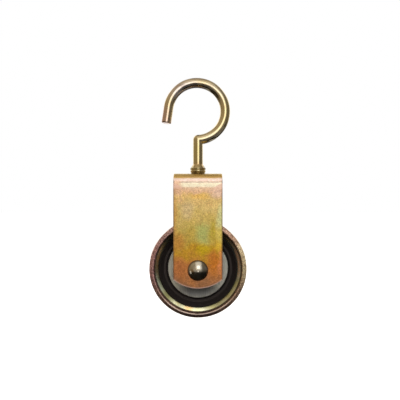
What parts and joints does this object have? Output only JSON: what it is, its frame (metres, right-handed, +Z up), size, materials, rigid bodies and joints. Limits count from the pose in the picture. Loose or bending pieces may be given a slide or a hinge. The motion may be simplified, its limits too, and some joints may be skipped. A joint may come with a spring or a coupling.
{
  "type": "pulley block with swivel hook",
  "caption": "Small single-sheave pulley block: grooved pressed wheel in a flat steel strap, hung from an open swivel hook.",
  "frame": {"origin": "the hook's seat: the inside of the hook's crown, straight above the shank, where the block hangs", "axes": "+Z up along the shank towards the support, +Y along the axle towards the rivet's peened end, +X away from the hook's mouth"},
  "size_m": [0.0498, 0.0284, 0.1246],
  "materials": {
    "hook_zinc": "bright yellow zinc plate on round bar",
    "strap_zinc": "satin iridescent yellow zinc plate",
    "wheel_zinc": "polished yellow zinc plate, satin rolled lip",
    "disc_zinc": "matt grey zinc plate",
    "rivet_steel": "polished dome head",
    "inner_steel": "plain turned steel",
    "hub_nylon": "black moulded nylon"
  },
  "bodies": {
    "hook": {"swivel_hook": "hook_zinc", "swivel_washer": "disc_zinc"},
    "block": {"strap": "strap_zinc", "axle_rivet": "rivet_steel", "rivet_burr": "disc_zinc", "axle_sleeve": "inner_steel", "cover_disc_front": "disc_zinc", "cover_disc_rear": "disc_zinc"},
    "wheel": {"sheave_half_front": "wheel_zinc", "sheave_half_rear": "wheel_zinc", "hub_insert_front": "hub_nylon", "hub_insert_rear": "hub_nylon", "web_rivets": "inner_steel"}
  },
  "joints": [
    {"name": "hook_swivel", "type": "hinge", "parent": "hook", "child": "block", "pos_m": [0, 0, -0.04663], "axis": [0, 0, 1], "continuous": true},
    {"name": "wheel_spin", "type": "hinge", "parent": "block", "child": "wheel", "pos_m": [0, 0, -0.09443], "axis": [0, 1, 0], "continuous": true}
  ]
}
